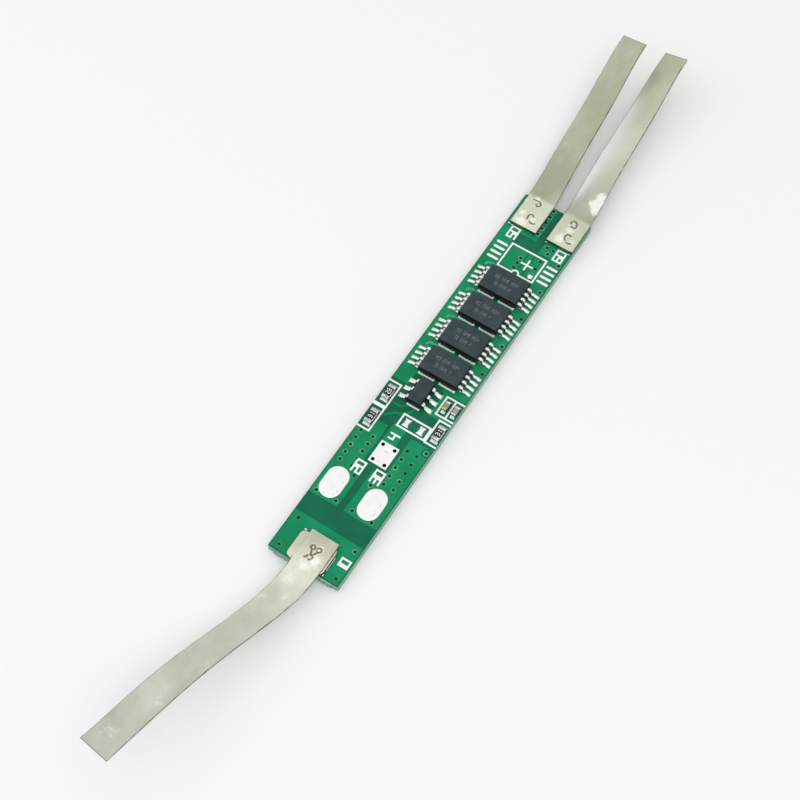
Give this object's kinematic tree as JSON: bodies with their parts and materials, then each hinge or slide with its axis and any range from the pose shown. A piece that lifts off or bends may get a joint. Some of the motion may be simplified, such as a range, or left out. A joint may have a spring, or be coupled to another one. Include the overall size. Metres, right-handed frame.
{
  "type": "battery protection board",
  "caption": "Long narrow green circuit board for a battery pack, with a row of power switches, small parts, tinned output pads and nickel strips welded at both ends.",
  "frame": {"origin": "middle of the board's flat underside", "axes": "+X across the board, +Y along it towards the end with two strips, +Z out of the face that carries the parts"},
  "size_m": [0.0089, 0.0926, 0.0076],
  "materials": {
    "lacquer": "gloss green lacquer",
    "laminate": "matt glass-fibre laminate",
    "copper": "etched copper foil",
    "print": "matt white ink",
    "tin": "bright tinned",
    "solder": "bright solder",
    "nickel": "satin nickel",
    "mould": "matt dark moulding compound",
    "silicon": "silicon die",
    "lead": "tinned copper leads",
    "resistor_body": "white alumina",
    "resistor_coat": "black overcoat",
    "capacitor_body": "tan ceramic",
    "end_metal": "tinned ends"
  },
  "bodies": {
    "root": {"capacitor_1_body": "capacitor_body", "capacitor_1_ends": "end_metal", "capacitor_2_body": "capacitor_body", "capacitor_2_ends": "end_metal", "chip_pads": "tin", "controller_die": "silicon", "controller_leads": "lead", "controller_mould": "mould", "controller_solder": "solder", "empty_site_pads": "tin", "laminate_core": "laminate", "link_pads": "tin", "lower_copper": "copper", "lower_lacquer": "lacquer", "minus_strip": "nickel", "minus_tab": "nickel", "minus_tab_solder": "solder", "near_strip": "nickel", "near_tab": "nickel", "near_tab_solder": "solder", "output_minus_pad": "tin", "output_plus_pad": "tin", "plus_strip": "nickel", "plus_tab": "nickel", "plus_tab_solder": "solder", "printed_figures": "print", "printed_lines": "print", "resistor_1_body": "resistor_body", "resistor_1_coat": "resistor_coat", "resistor_1_ends": "end_metal", "resistor_2_body": "resistor_body", "resistor_2_coat": "resistor_coat", "resistor_2_ends": "end_metal", "resistor_3_body": "resistor_body", "resistor_3_coat": "resistor_coat", "resistor_3_ends": "end_metal", "small_part_pads": "tin", "small_part_solder": "solder", "switch_1_die": "silicon", "switch_1_leads": "lead", "switch_1_mould": "mould", "switch_1_solder": "solder", "switch_2_die": "silicon", "switch_2_leads": "lead", "switch_2_mould": "mould", "switch_2_solder": "solder", "switch_3_die": "silicon", "switch_3_leads": "lead", "switch_3_mould": "mould", "switch_3_solder": "solder", "switch_4_die": "silicon", "switch_4_leads": "lead", "switch_4_mould": "mould", "switch_4_solder": "solder", "tab_pads": "tin", "third_pad": "tin", "upper_copper": "copper", "upper_lacquer": "lacquer", "via_barrels": "copper"}
  },
  "joints": []
}
